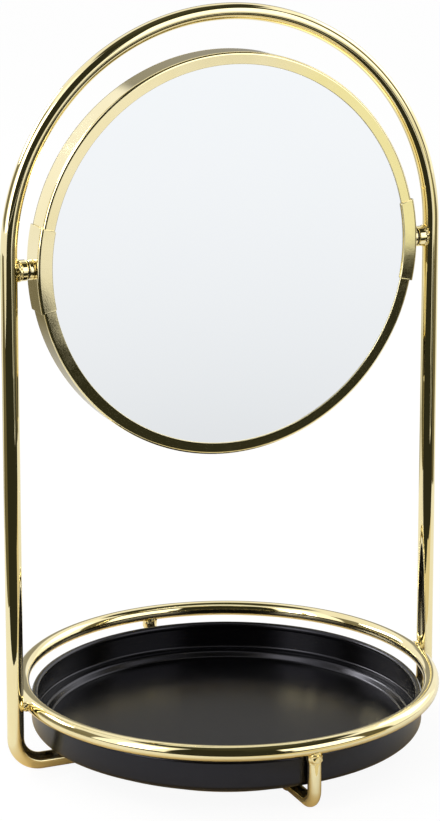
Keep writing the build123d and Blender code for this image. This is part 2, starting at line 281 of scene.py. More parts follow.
@dataclass(frozen=True)
class Finish:
    """A surface finish: two near colours in soft patches, varying roughness and a fine relief.

    Lengths are in metres. Patch sizes say how large the soft areas of each pattern are.
    """

    COLOUR_EDGES: ClassVar[Span] = (0.35, 0.65)  # noise where the first colour ends and the second starts
    COLOUR_DETAIL: ClassVar[float] = 3.0
    HAZE_SPAN: ClassVar[Span] = (0.3, 0.7)  # noise that gives the lowest and highest roughness
    HAZE_DETAIL: ClassVar[float] = 4.0

    name: str
    colour: Colour
    second_colour: Colour
    metallic: float
    roughness: Span
    colour_patch: float = 0.03
    rough_patch: float = 0.008
    relief_size: float = 0.004
    relief_height: float = 0.0
    relief_detail: float = 2.0
    specular: float = 0.5
    specular_tint: Colour = WHITE

    def material(self) -> bpy.types.Material:
        """Builds the material, once for each finish.

        Returns:
            The material, which reads Object coordinates.
        """
        known = bpy.data.materials.get(self.name)
        if known:
            return known
        material, bench = new_material(self.name)
        place = bench.add("ShaderNodeTexCoord").outputs["Object"]
        shader = bench.add("ShaderNodeBsdfPrincipled", in_Metallic=self.metallic,
                           in_Specular_IOR_Level=self.specular, in_Specular_Tint=(*self.specular_tint, 1.0))
        bench.add("ShaderNodeOutputMaterial", in_Surface=shader.outputs["BSDF"])
        patches = bench.patches(place, self.colour_patch, self.COLOUR_DETAIL)
        stops = tuple(zip(self.COLOUR_EDGES, (self.colour, self.second_colour)))
        bench.feed(shader.inputs["Base Color"], bench.ramp(patches, stops))

        roughness: Socket | float = self.roughness[0]
        if self.roughness[0] != self.roughness[1]:
            haze = bench.patches(place, self.rough_patch, self.HAZE_DETAIL)
            roughness = bench.mapped(haze, self.HAZE_SPAN, self.roughness)
        bench.feed(shader.inputs["Roughness"], roughness)

        if self.relief_height:
            grain = bench.patches(place, self.relief_size, self.relief_detail)
            bump = bench.first("ShaderNodeBump", in_Distance=self.relief_height, in_Height=grain)
            bench.feed(shader.inputs["Normal"], bump)
        return material


POLISHED_BAR = Finish("polished gold bar", (0.85, 0.74, 0.42), (0.88, 0.78, 0.47), 1.0, (0.012, 0.035),
                      relief_size=0.006, relief_height=0.000006)
POLISHED_SHEET = Finish("polished gold sheet", (0.87, 0.765, 0.44), (0.90, 0.80, 0.49), 1.0, (0.05, 0.10),
                        relief_size=0.0008, relief_height=0.0000025, relief_detail=4.0)
POLISHED_WELD = Finish("polished gold weld", (0.84, 0.70, 0.34), (0.88, 0.75, 0.40), 1.0, (0.05, 0.10),
                       relief_size=0.0012, relief_height=0.00004)
SATIN_BLACK = Finish("satin black powder coat", (0.0010, 0.0010, 0.0014), (0.0014, 0.0014, 0.0019), 0.0,
                     (0.20, 0.25), relief_size=0.0006, relief_height=0.000003, relief_detail=3.0,
                     specular=0.40, specular_tint=(0.88, 0.87, 1.0))
SILVERED_GLASS = Finish("silvered mirror glass", (0.905, 0.932, 0.955), (0.915, 0.938, 0.96), 1.0, (0.0, 0.0),
                        colour_patch=0.12)
BRIGHT_STEEL = Finish("bright plated steel", (0.58, 0.58, 0.56), (0.66, 0.66, 0.64), 1.0, (0.2, 0.32),
                      relief_size=0.0007, relief_height=0.00001)
SPRING_STEEL = Finish("dark spring steel", (0.10, 0.095, 0.085), (0.15, 0.14, 0.12), 1.0, (0.3, 0.4))
NATURAL_NYLON = Finish("natural nylon", (0.80, 0.78, 0.72), (0.86, 0.84, 0.79), 0.0, (0.4, 0.5))
GREY_BOARD = Finish("grey board", (0.36, 0.31, 0.25), (0.46, 0.41, 0.34), 0.0, (0.8, 0.9),
                    colour_patch=0.004, relief_size=0.001, relief_height=0.00005)


# ---- making meshes

SUPPORT_SHARE = 0.12  # distance of a support point from its rounding, as a share of the radius
SUPPORT_LIMIT = 0.02 * MM
TURNED_SHARP = 38.0  # edges that turn more than this stay sharp, in degrees
BAKED_SHARP = 60.0


def rounded(corners: Sequence[Corner], steps: int = 6) -> Outline:
    """Rounds the corners of a closed outline and keeps its flats exact.

    A support point stands close to each end of every rounding, on the flat, so that smooth shading
    doesn't bend the flat's reflection.

    Args:
        corners: For each corner its two coordinates and the radius of its rounding, in metres.
        steps: How many chords make up one rounding.

    Returns:
        The outline's points in order.
    """
    points: Outline = []
    for i, (x, y, radius) in enumerate(corners):
        here = Vector((x, y))
        back = Vector(corners[i - 1][:2]) - here
        ahead = Vector(corners[(i + 1) % len(corners)][:2]) - here
        if radius <= 0 or back.length == 0 or ahead.length == 0:
            points.append((x, y))
            continue
        half = back.angle(ahead) / 2
        back, ahead = back.normalized(), ahead.normalized()
        cut = radius / math.tan(half)
        start, stop = here + back * cut, here + ahead * cut
        centre = here + (back + ahead).normalized() * radius / math.sin(half)
        support = min(SUPPORT_SHARE * radius, SUPPORT_LIMIT)
        spoke = start - centre
        sweep = spoke.angle_signed(stop - centre)
        points.append(tuple(start + back * support))
        points += [tuple(centre + Matrix.Rotation(-sweep * k / steps, 2) @ spoke) for k in range(steps + 1)]
        points.append(tuple(stop + ahead * support))
    return points


def subdivided(outline: Outline, longest: float) -> Outline:
    """Adds points to an outline.

    Args:
        outline: The closed outline.
        longest: The furthest that two neighbours may be apart, in metres.

    Returns:
        The same outline with more points.
    """
    dense: Outline = []
    for (x0, y0), (x1, y1) in zip(outline, outline[1:] + outline[:1]):
        parts = max(1, math.ceil(math.hypot(x1 - x0, y1 - y0) / longest))
        dense += [(x0 + (x1 - x0) * i / parts, y0 + (y1 - y0) * i / parts) for i in range(parts)]
    return dense


def arc_points(centre: Vector, start: Vector, stop: Vector, step_degrees: float) -> list[Vector]:
    """Points on the shorter arc round a centre.

    Args:
        centre: The arc's centre.
        start: Its first point.
        stop: Its last point.
        step_degrees: How far the points are apart, in degrees.

    Returns:
        The points, both ends included.
    """
    a, b = start - centre, stop - centre
    steps = max(2, round(math.degrees(a.angle(b)) / step_degrees))
    axis = a.cross(b).normalized()
    return [centre + Matrix.Rotation(a.angle(b) * i / steps, 3, axis) @ a for i in range(steps + 1)]


def dress_mesh(mesh: bpy.types.Mesh, finish: Finish, sharp_angle: float) -> None:
    """Gives a mesh its material, and smooth shading except at sharp edges.

    Args:
        mesh: The mesh.
        finish: What its surface is made of.
        sharp_angle: Edges that turn more than this stay sharp, in degrees.
    """
    mesh.materials.clear()
    mesh.materials.append(finish.material())
    mesh.shade_smooth()
    mesh.set_sharp_from_angle(angle=math.radians(sharp_angle))


def turned(name: str, outline: Outline, turn: Turn, centre: Vector, finish: Finish, steps: int,
           arc: Span | None = None) -> bpy.types.Object:
    """Turns a closed outline round an axis, fully or over an arc with closed ends.

    Args:
        name: The object's name.
        outline: Points of radius and place along the axis, in order round the section.
        turn: Which axis the piece is turned round.
        centre: The point that the radius and the place along the axis are measured from.
        finish: What its surface is made of.
        steps: How many steps make up the turn.
        arc: The first and last angle in degrees, or None for a full turn.

    Returns:
        The linked object, with its place in its mesh.
    """
    build = bmesh.new()
    whole = arc is None
    first, last = (0.0, 360.0) if whole else arc
    count = steps if whole else steps + 1
    angles = [math.radians(first + (last - first) * i / steps) for i in range(count)]
    rows: list[list[bmesh.types.BMVert]] = []
    for radius, along in outline:
        if radius < ON_AXIS:
            rows.append([build.verts.new(turn.place(0.0, along, 0.0, centre))] * count)
        else:
            rows.append([build.verts.new(turn.place(radius, along, angle, centre)) for angle in angles])
    for row, other in zip(rows, rows[1:] + rows[:1]):
        for k in range(steps):
            after = (k + 1) % count
            corners = list(dict.fromkeys((row[k], row[after], other[after], other[k])))
            if len(corners) > 2:
                build.faces.new(corners)
    if not whole:
        build.faces.new([row[0] for row in rows])
        build.faces.new([row[-1] for row in reversed(rows)])
    bmesh.ops.recalc_face_normals(build, faces=build.faces)
    mesh = bpy.data.meshes.new(name)
    build.to_mesh(mesh)
    build.free()
    dress_mesh(mesh, finish, TURNED_SHARP)
    return linked(name, mesh)


def baked(made: bpy.types.Object, finish: Finish) -> bpy.types.Object:
    """Replaces an object's mesh by what its modifiers make of it, and removes them.

    Args:
        made: The object with live modifiers.
        finish: What its surface is made of.

    Returns:
        The same object with a plain mesh whose faces point outwards.
    """
    graph = bpy.context.evaluated_depsgraph_get()
    mesh = bpy.data.meshes.new_from_object(made.evaluated_get(graph), depsgraph=graph)
    made.modifiers.clear()
    made.data = mesh
    build = bmesh.new()
    build.from_mesh(mesh)
    bmesh.ops.remove_doubles(build, verts=build.verts, dist=MERGE_REACH)
    bmesh.ops.recalc_face_normals(build, faces=build.faces)
    build.to_mesh(mesh)
    build.free()
    dress_mesh(mesh, finish, BAKED_SHARP)
    return made


class BarTree:
    """Geometry Nodes tree that runs a round bar along a path, with closed ends."""

    INPUTS = (("Bar Radius", "NodeSocketFloat"), ("Sides", "NodeSocketInt"), ("Finish", "NodeSocketMaterial"))

    def __init__(self) -> None:
        """Lays out the tree."""
        self.tree = bpy.data.node_groups.new("Bar along a path", "GeometryNodeTree")
        bench = NodeBench(self.tree)
        face = self.tree.interface
        face.new_socket("Path", in_out="INPUT", socket_type="NodeSocketGeometry")
        self.keys = {name: face.new_socket(name, in_out="INPUT", socket_type=kind).identifier
                     for name, kind in self.INPUTS}
        face.new_socket("Bar", in_out="OUTPUT", socket_type="NodeSocketGeometry")
        given = bench.add("NodeGroupInput").outputs
        path = bench.first("GeometryNodeMeshToCurve", in_Mesh=given["Path"])
        section = bench.first("GeometryNodeCurvePrimitiveCircle", mode="RADIUS",
                              in_Radius=given["Bar Radius"], in_Resolution=given["Sides"])
        skin = bench.first("GeometryNodeCurveToMesh", in_Curve=path, in_Profile_Curve=section,
                           in_Fill_Caps=True)
        smooth = bench.first("GeometryNodeSetShadeSmooth", in_Geometry=skin)
        real = bench.first("GeometryNodeRealizeInstances", in_Geometry=smooth)
        dressed = bench.first("GeometryNodeSetMaterial", in_Geometry=real, in_Material=given["Finish"])
        bench.add("NodeGroupOutput", in_Bar=dressed)

    def bar(self, name: str, path: Sequence[Vector], radius: float, finish: Finish,
            closed: bool = False, sides: int = 64) -> bpy.types.Object:
        """Makes one bar and bakes it to a plain mesh.

        Args:
            name: The object's name.
            path: The bar's centre line.
            radius: The bar's radius, in metres.
            finish: What its surface is made of.
            closed: Whether the path's end joins its start.
            sides: How many flats stand for the bar's round section.

        Returns:
            The baked object.
        """
        count = len(path)
        edges = [(i, i + 1) for i in range(count - 1)] + ([(count - 1, 0)] if closed else [])
        line = bpy.data.meshes.new(name + " path")
        line.from_pydata([tuple(p) for p in path], edges, [])
        made = linked(name, line)
        modifier = made.modifiers.new("bar", "NODES")
        modifier.node_group = self.tree
        for key, value in (("Bar Radius", radius), ("Sides", sides), ("Finish", finish.material())):
            modifier[self.keys[key]] = value
        return baked(made, finish)


@dataclass(frozen=True)
class Bead:
    """How lumpy a weld bead's surface is. Lengths are in metres."""

    DRIFT: ClassVar[Place] = (1.0, 1.7, 0.6)  # how the seed moves the pattern along each axis
    INWARD: ClassVar[float] = 0.25  # how far the lumps lie below the smooth surface, as a share of height

    height: float
    lump: float
    spacing: float
    seed: float

    def roughen(self, made: bpy.types.Object, shift: float) -> bpy.types.Object:
        """Moves a bead's surface in and out in small lumps.

        Args:
            made: The bead.
            shift: Added to the seed, so that no two beads are the same.

        Returns:
            The same object.
        """
        offset = Vector([(self.seed + shift) * drift for drift in self.DRIFT])
        mesh = made.data
        moves = [v.normal * (noise.noise(v.co / self.lump + offset) - self.INWARD) * self.height
                 for v in mesh.vertices]
        for vertex, move in zip(mesh.vertices, moves):
            vertex.co += move
        mesh.update()
        return made


class SubAssembly:
    """Pieces that move together on one CAD body."""

    BODY: ClassVar[str]

    def hand_in(self, made: bpy.types.Object, node: str, slot: str = "polished_gold") -> None:
        """Puts a piece on its body and lets it stand for its CAD node.

        Args:
            made: The finished piece.
            node: The CAD node that it stands for.
            slot: The record's material slot; not used.
        """
        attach(made, self.BODY)
        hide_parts(node)
        log.info("%s: %d faces, stands for %s", made.name, len(made.data.polygons), node)

    def lathe(self, node: str, outline: Outline, turn: Turn, centre: Vector, finish: Finish, steps: int,
              slot: str = "polished_gold") -> None:
        """Turns a piece as turned() does and hands it in."""
        self.hand_in(turned(piece_name(node), outline, turn, centre, finish, steps), node, slot)


# ---- the stand


@dataclass
class BarStand(SubAssembly):
    """Arch, rings, short legs, the welds between them, and the pivots' barrels."""

    BODY: ClassVar[str] = "stand"
    RING_STEPS: ClassVar[int] = 360
    WELD_STEPS: ClassVar[int] = 72
    BARREL_STEPS: ClassVar[int] = 96
    LEG_BEAD: ClassVar[Bead] = Bead(0.4 * MM, 1.7 * MM, 0.35 * MM, 3.1)
    FOOT_BEAD: ClassVar[Bead] = Bead(0.2 * MM, 1.3 * MM, 0.35 * MM, 5.3)
    RING_BEAD: ClassVar[Bead] = Bead(0.7 * MM, 1.3 * MM, 0.3 * MM, 7.9)
    BARREL_BEAD: ClassVar[Bead] = Bead(0.5 * MM, 1.4 * MM, 0.25 * MM, 1.7)

    bars: BarTree
    foot_bend: float = 13.0 * MM
    short_foot_bend: float = 7.0 * MM
    leg_sides: int = 48
    edge: float = 0.2 * MM
    sleeve_neck: float = 0.94
    sleeve_rise: float = 0.3
    sleeve_bend: float = 1.5 * MM
    bulge_bend: float = 0.5 * MM
    ring_weld_overlap: float = 1.9 * MM
    ring_weld_end: float = 3.1 * MM
    ring_weld_waist: float = 2.3 * MM
    waist_steps: int = 12
    barrel_inset: float = 0.3 * MM
    barrel_edge: float = 0.6 * MM
    bore_gap: float = 0.05 * MM
    bore_edge: float = 0.1 * MM
    bead_core: float = 0.6
    bead_swell: float = 0.55
    bar_radius: float = field(init=False)
    arch_radius: float = field(init=False)
    arch_centre_z: float = field(init=False)
    gallery_radius: float = field(init=False)
    gallery_bar: float = field(init=False)
    gallery_z: float = field(init=False)
    base_radius: float = field(init=False)
    base_bar: float = field(init=False)
    leg_bar: float = field(init=False)
    pivot_z: float = field(init=False)

    def __post_init__(self) -> None:
        """Reads the sizes off the CAD model."""
        self.bar_radius = node_half("arch_bar", 1)
        self.arch_radius = node_half("arch_bar", 0) - self.bar_radius
        self.arch_centre_z = node_box("arch_bar")[1].z - self.bar_radius - self.arch_radius
        self.gallery_bar = node_half("gallery_ring", 2)
        self.gallery_radius = node_half("gallery_ring", 0) - self.gallery_bar
        self.gallery_z = node_box("gallery_ring")[1].z - self.gallery_bar
        self.base_bar = node_half("base_ring", 2)
        self.base_radius = node_half("base_ring", 0) - self.base_bar
        self.leg_bar = node_half("front_leg", 0)
        self.pivot_z = sum(corner.z for corner in node_box("pivot_pin_left")) / 2

    def build(self) -> None:
        """Makes every piece of the stand."""
        self.make_arch()
        gallery, base = self.gallery_bar, self.base_bar
        self.bar("gallery_ring", self.ring_path(self.gallery_radius, self.gallery_z), gallery, closed=True)
        self.bar("base_ring", self.ring_path(self.base_radius, base), base, closed=True)
        for end in End:
            self.make_short_leg(end)
        for side in Side:
            self.make_side_welds(side)
            self.make_barrel(side)

    def bar(self, node: str, path: Sequence[Vector], radius: float, **settings: object) -> None:
        """Makes a polished bar and hands it in for its node."""
        self.hand_in(self.bars.bar(piece_name(node), path, radius, POLISHED_BAR, **settings), node)

    def weld(self, node: str, outline: Outline, turn: Turn, centre: Vector, bead: Bead, shift: float,
             steps: int = WELD_STEPS) -> None:
        """Makes a lumpy weld bead and hands it in.

        Args:
            node: The CAD node that it stands for.
            outline: Points of radius and place along the axis.
            turn: The axis.
            centre: The point that the outline is measured from.
            bead: How lumpy it is.
            shift: What sets its lumps apart from those of its twin.
            steps: How many steps make up the turn.
        """
        dense = subdivided(outline, bead.spacing)
        made = turned(piece_name(node), dense, turn, centre, POLISHED_WELD, steps)
        self.hand_in(bead.roughen(made, shift), node)

    def make_arch(self) -> None:
        """One bent bar: foot, leg, half circle, leg, foot."""
        r, bend, low, top = self.arch_radius, self.foot_bend, self.bar_radius, self.arch_centre_z
        right = [Vector((self.base_radius + self.base_bar, 0, low))]
        right += arc_points(Vector((r - bend, 0, low + bend)), Vector((r - bend, 0, low)),
                            Vector((r, 0, low + bend)), step_degrees=4.0)
        crown = [Vector((r * math.cos(a), 0, top + r * math.sin(a))) for a in map(math.radians, range(181))]
        left = [Vector((-point.x, 0, point.z)) for point in reversed(right)]
        self.bar("arch_bar", right + crown + left, self.bar_radius)

    def ring_path(self, radius: float, z: float) -> list[Vector]:
        """The centre line of a level ring."""
        angles = (math.tau * i / self.RING_STEPS for i in range(self.RING_STEPS))
        return [Vector((radius * math.cos(a), radius * math.sin(a), z)) for a in angles]

    def make_short_leg(self, end: End) -> None:
        """A thin leg from the gallery ring down and in to the base ring, with its two welds.

        Args:
            end: The end of the stand.
        """
        sign, r, bend, low = end.value, self.gallery_radius, self.short_foot_bend, self.base_bar
        path = [Vector((0, sign * r, self.gallery_z))]
        path += arc_points(Vector((0, sign * (r - bend), low + bend)), Vector((0, sign * r, low + bend)),
                           Vector((0, sign * (r - bend), low)), step_degrees=5.0)
        path.append(Vector((0, sign * self.base_radius, low)))
        self.bar(f"{end.word}_leg", path, self.leg_bar, sides=self.leg_sides)

        node = f"leg_weld_{end.word}"
        foot_z, head_z = (corner.z for corner in node_box(node))
        neck_z, proud = foot_z + (head_z - foot_z) * self.sleeve_rise, node_half(node, 0)
        sleeve = rounded([
            (0, foot_z, 0), (self.leg_bar, foot_z, self.edge),
            (proud * self.sleeve_neck, neck_z, self.sleeve_bend), (proud, head_z, 0), (0, head_z, 0)])
        self.weld(node, sleeve, Turn.UPRIGHT, Vector((0, sign * r, 0)), self.LEG_BEAD, sign)

        node = f"base_weld_{end.word}"
        radius = node_half(node, 0)
        inner, outer = sign * self.base_radius, sign * node_reach(node, 1)[1]
        bulge = rounded([(0, inner, 0), (radius, inner, 0), (radius, outer, self.bulge_bend), (0, outer, 0)])
        self.weld(node, bulge, Turn.ALONG_Y, Vector((0, 0, low)), self.FOOT_BEAD, sign)

    def make_side_welds(self, side: Side) -> None:
        """The waisted bead between gallery ring and arch leg, and the ground weld at the arch's foot.

        Args:
            side: The side of the stand.
        """
        sign, steps = side.value, self.waist_steps
        inner = self.gallery_radius + self.gallery_bar - self.ring_weld_overlap
        outer = self.arch_radius - self.bar_radius + self.ring_weld_overlap
        waist = self.ring_weld_end - self.ring_weld_waist
        outline = [(0, inner * sign)]
        for share in (i / steps for i in range(steps + 1)):
            radius = self.ring_weld_end - waist * math.sin(math.pi * share)
            outline.append((radius, (inner + (outer - inner) * share) * sign))
        outline.append((0, outer * sign))
        self.weld(f"ring_weld_{side.word}", outline, Turn.ALONG_X, Vector((0, 0, self.gallery_z)),
                  self.RING_BEAD, sign)

        node = f"base_weld_{side.word}"
        radius = node_half(node, 2)
        start, stop = self.base_radius * sign, (self.base_radius + self.base_bar) * sign
        self.lathe(node, [(0, start), (radius, start), (radius, stop), (0, stop)], Turn.ALONG_X,
                   Vector((0, 0, self.bar_radius)), POLISHED_WELD, self.WELD_STEPS)

    def make_barrel(self, side: Side) -> None:
        """The boss that the pin turns in, and the bead round it.

        Args:
            side: The side of the stand.
        """
        sign, centre, steps = side.value, Vector((0, 0, self.pivot_z)), self.BARREL_STEPS
        node, bush = f"pivot_barrel_{side.word}", f"friction_bush_{side.word}"
        ridge = self.arch_radius - self.bar_radius
        face_x, leg_x = node_reach(node, 0)[0] * sign, (ridge + self.barrel_inset) * sign
        floor_x = node_reach(bush, 0)[1] * sign
        radius, bore = node_half(node, 2), node_half(bush, 2) + self.bore_gap
        outline = rounded([(0, floor_x, 0), (bore, floor_x, 0), (bore, face_x, self.bore_edge),
                           (radius, face_x, self.barrel_edge), (radius, leg_x, 0), (0, leg_x, 0)])
        self.lathe(node, outline, Turn.ALONG_X, centre, POLISHED_BAR, steps)

        node = f"barrel_weld_{side.word}"
        start, core = node_reach(node, 0)[0], radius * self.bead_core
        proud = radius + (node_half(node, 2) - radius) * self.bead_swell
        # It starts just inside the barrel's skin, is widest at the leg and runs on into it.
        outline = rounded([
            (core, start, 0), (radius * 0.99, start, self.edge), (proud, ridge - self.edge, 0.5 * MM),
            (proud * 0.97, ridge + 0.5 * MM, 0.3 * MM), (core, ridge + 1.6 * MM, 0)])
        self.weld(node, [(r, along * sign) for r, along in outline], Turn.ALONG_X, centre, self.BARREL_BEAD,
                  sign, steps)


# ---- the mirror head


@dataclass
class MirrorHead(SubAssembly):
    """Two bezel halves, two glasses, and the clips and collars that carry them."""

    BODY: ClassVar[str] = "mirror"
    BEZEL_STEPS: ClassVar[int] = 360
    GLASS_STEPS: ClassVar[int] = 256
    DISH_STEPS: ClassVar[int] = 48
    CLIP_STEPS: ClassVar[int] = 120
    COLLAR_STEPS: ClassVar[int] = 96

    sheet: float = 0.5 * MM
    lip: float = 5.8 * MM
    crown_angle: float = 2.5
    fit_gap: float = 0.1 * MM
    cut_edge: float = 0.1 * MM
    lip_edge: float = 0.2 * MM
    outer_bend: float = 1.3 * MM
    bend_steps: int = 8
    inner_bend: float = 0.5 * MM
    rear_lip_edge: float = 0.3 * MM
    rear_bend: float = 0.6 * MM
    seam_edge: float = 0.05 * MM
    glass_sheet: float = 2.0 * MM
    glass_edge: float = 0.4 * MM
    clip_sheet: float = 1.0 * MM
    clip_flange: float = 0.6 * MM
    clip_reach: float = 0.3 * MM
    clip_edge: float = 0.25 * MM
    clip_corner: float = 1.1 * MM
    clip_corner_zone: float = 0.6 * MM
    clip_softening: float = 0.12 * MM
    clip_angle: float = 11.9
    collar_edge: float = 0.4 * MM
    radius: float = field(init=False)
    half_depth: float = field(init=False)
    centre: Vector = field(init=False)

    def __post_init__(self) -> None:
        """Reads the sizes off the CAD model."""
        low, high = node_box("front_bezel")
        self.radius = (high.x - low.x) / 2
        self.half_depth = -low.y
        self.centre = Vector((0, 0, (low.z + high.z) / 2))

    def build(self) -> None:
        """Makes every piece of the mirror head."""
        self.make_front_bezel()
        self.make_rear_bezel()
        self.make_glasses()
        for side in Side:
            self.make_clip(side)
            self.make_collar(side)

    def make_front_bezel(self) -> None:
        """The deep half: a lightly crowned face round the plane glass, and the wall."""
        r, t, front, lip_r = self.radius, self.sheet, -self.half_depth, self.radius - self.lip
        back = node_box("front_bezel")[1].y
        crown = self.lip * math.tan(math.radians(self.crown_angle))
        outline = rounded([
            (lip_r, front, self.lip_edge), (r, front + crown, self.outer_bend), (r, back, self.lip_edge),
            (r - t, back, self.lip_edge), (r - t, front + t + crown, self.inner_bend),
            (lip_r, front + t, self.cut_edge)])
        self.lathe("front_bezel", outline, Turn.ALONG_Y, self.centre, POLISHED_SHEET, self.BEZEL_STEPS)

    def make_rear_bezel(self) -> None:
        """The shallow half: a face round the magnifying glass and the skirt inside the wall."""
        r, t, back, lip_r = self.radius, self.sheet, self.half_depth, self.radius - self.lip
        skirt_r = r - t - self.fit_gap
        skirt_y = node_box("rear_bezel")[0].y
        outline = rounded([
            (lip_r, back, self.rear_lip_edge), (r, back, self.rear_bend), (r, back - t, self.seam_edge),
            (skirt_r, back - t, 0), (skirt_r, skirt_y, self.cut_edge), (skirt_r - t, skirt_y, self.cut_edge),
            (skirt_r - t, back - t, 0), (lip_r, back - t, self.cut_edge)])
        self.lathe("rear_bezel", outline, Turn.ALONG_Y, self.centre, POLISHED_SHEET, self.BEZEL_STEPS)

    def make_glasses(self) -> None:
        """The plane glass in front and the dished magnifying glass behind."""
        low, high = node_box("front_glass")
        r, seat, edge = (high.x - low.x) / 2, self.sheet - self.half_depth, self.glass_edge
        outline = rounded([(0, seat, 0), (r, seat, edge), (r, high.y, edge), (0, high.y, 0)])
        way = (Turn.ALONG_Y, self.centre, SILVERED_GLASS, self.GLASS_STEPS, "mirror_glass")
        self.lathe("front_glass", outline, *way)

        low, high = node_box("magnifying_glass")
        sag = (high.y - low.y) - self.glass_sheet
        ball, steps = (r * r + sag * sag) / (2 * sag), self.DISH_STEPS
        radii = [r * i / steps for i in range(steps + 1)]
        face = [(x, high.y - sag + ball - math.sqrt(ball**2 - x**2)) for x in radii]
        rear = [(x, y - self.glass_sheet) for x, y in reversed(face)]
        self.lathe("magnifying_glass", face + rear, *way)

    def make_clip(self, side: Side) -> None:
        """A saddle of sheet bent round the rim, with flanges over both bezel faces.

        Args:
            side: The side of the mirror.
        """
        node = f"clip_{side.word}"
        outer, t, thin = node_reach(node, 0)[1], self.clip_sheet, self.clip_flange
        face = self.half_depth + self.fit_gap + thin
        flange = self.radius - self.lip - self.clip_reach
        slope = (outer - flange) * math.tan(math.radians(self.crown_angle))
        cut, edge, bend = self.cut_edge, self.clip_edge, self.outer_bend
        outline = rounded([
            (flange, -face, edge), (outer, slope - face, bend), (outer, face, bend), (flange, face, edge),
            (flange, face - thin, cut), (outer - t, face - thin, edge),
            (outer - t, slope + thin - face, edge), (flange, thin - face, cut)], self.bend_steps)
        middle = 0.0 if side is Side.RIGHT else 180.0
        made = turned(piece_name(node), outline, Turn.ALONG_Y, self.centre, POLISHED_SHEET, self.CLIP_STEPS,
                      arc=(middle - self.clip_angle, middle + self.clip_angle))
        self.round_corners(made.data, flange, math.radians(middle))
        soft = made.modifiers.new("softened edge", "BEVEL")
        soft.width, soft.segments = self.clip_softening, 2
        soft.limit_method, soft.angle_limit = "ANGLE", math.radians(60)
        self.hand_in(baked(made, POLISHED_SHEET), node)

    def round_corners(self, mesh: bpy.types.Mesh, flange: float, middle: float) -> None:
        """Rounds the flanges' corners at both ends of a clip.

        Args:
            mesh: The clip's mesh.
            flange: Radius of the flanges' inner edge, in metres.
            middle: The clip's middle as an angle round the rim, in radians.
        """
        corner, half = self.clip_corner, math.radians(self.clip_angle)
        for vertex in mesh.vertices:
            arm = vertex.co - self.centre
            radius = math.hypot(arm.x, arm.z)
            off = abs(math.remainder(math.atan2(arm.z, arm.x) - middle, math.tau))
            to_end = (half - off) * radius
            if radius < flange + self.clip_corner_zone and to_end < corner:
                shift = corner - math.sqrt(corner**2 - (corner - max(to_end, 0.0)) ** 2)
                scale = (radius + shift) / radius
                vertex.co = Vector((arm.x * scale, vertex.co.y, self.centre.z + arm.z * scale))
        mesh.update()

    def make_collar(self, side: Side) -> None:
        """The spacer on the pin between clip and barrel.

        Args:
            side: The side of the mirror.
        """
        node = f"pivot_collar_{side.word}"
        low, high = node_box(node)
        r, hole = node_half(node, 2), node_half(f"pivot_pin_{side.word}", 2) + self.fit_gap
        outline = rounded([(hole, low.x, self.cut_edge), (r, low.x, self.collar_edge),
                           (r, high.x, self.collar_edge), (hole, high.x, self.cut_edge)])
        self.lathe(node, outline, Turn.ALONG_X, self.centre, POLISHED_BAR, self.COLLAR_STEPS)


# ---- the tray


@dataclass
class DressingTray(SubAssembly):
    """Pressed sheet tray: dished floor, ledge, upright wall and a rolled hem."""

    BODY: ClassVar[str] = "tray"
    STEPS: ClassVar[int] = 360

    sheet: float = 0.9 * MM
    ledge_width: float = 6.7 * MM
    ledge_rise: float = 3.3 * MM
    hem: float = 1.7 * MM
    hem_turn: float = 250.0
    hem_points: int = 24
    hem_overlap: float = 0.85
    hem_edge: float = 0.2 * MM
    bend: float = 2.2 * MM
    bend_steps: int = 8
    slope_thinning: float = 0.4

    def build(self) -> None:
        """Makes the tray as one turned skin."""
        low, high = node_box("tray")
        wall, t, b = (high.x - low.x) / 2, self.sheet, self.bend
        floor, ledge, rim = low.z, low.z + self.ledge_rise, high.z - self.hem
        well = wall - self.ledge_width
        foot_r, ledge_r, inner_r, thin = well - b / 2, well + b / 2, wall - t, t * self.slope_thinning
        hem: Outline = []
        for i in range(self.hem_points):
            a = math.radians(i * self.hem_turn / (self.hem_points - 1))
            hem.append((wall - self.hem + self.hem * math.cos(a), rim + self.hem * math.sin(a)))
        inside = rounded([
            (inner_r, rim - self.hem * self.hem_overlap, self.hem_edge), (inner_r, ledge + t, b - t),
            (ledge_r - thin, ledge + t, b), (foot_r - thin, floor + t, b - t / 2), (0, floor + t, 0)],
            self.bend_steps)
        outside = rounded([
            (0, floor, 0), (foot_r, floor, b), (ledge_r, ledge, b - t), (wall, ledge, b), (wall, rim, 0)],
            self.bend_steps)
        outline = hem + inside + outside
        made = turned("tray-pressing", outline, Turn.UPRIGHT, Vector((0, 0, 0)), SATIN_BLACK, self.STEPS)
        self.hand_in(made, "tray", "black_coat")


# ---- pieces that keep their CAD shape


@dataclass(frozen=True)
class KeptPieces:
    """CAD nodes whose shape is right and that only need their finish."""

    pairs: tuple[tuple[str, Finish], ...] = (
        ("friction_bush", NATURAL_NYLON), ("spring_washer", SPRING_STEEL), ("pivot_pin", BRIGHT_STEEL),
        ("pin_nut", BRIGHT_STEEL))

    def build(self) -> None:
        """Puts the finishes on the CAD nodes."""
        for stem, finish in self.pairs:
            for side in Side:
                self.dress(f"{stem}_{side.word}", finish)
        self.dress("backing_pad", GREY_BOARD)

    def dress(self, node: str, finish: Finish) -> None:
        """Gives a CAD node its material.

        Args:
            node: The CAD node.
            finish: What its surface is made of.
        """
        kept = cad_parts[node]
        kept.data.materials.clear()
        kept.data.materials.append(finish.material())
        log.info("%s keeps its CAD shape, in %s", node, finish.name)


# ---- the studio


class Fade(Enum):
    """What a card's brightness follows: one over the distance from the object, or the X position."""

    BY_NEARNESS = "nearness"
    BY_X = "x"


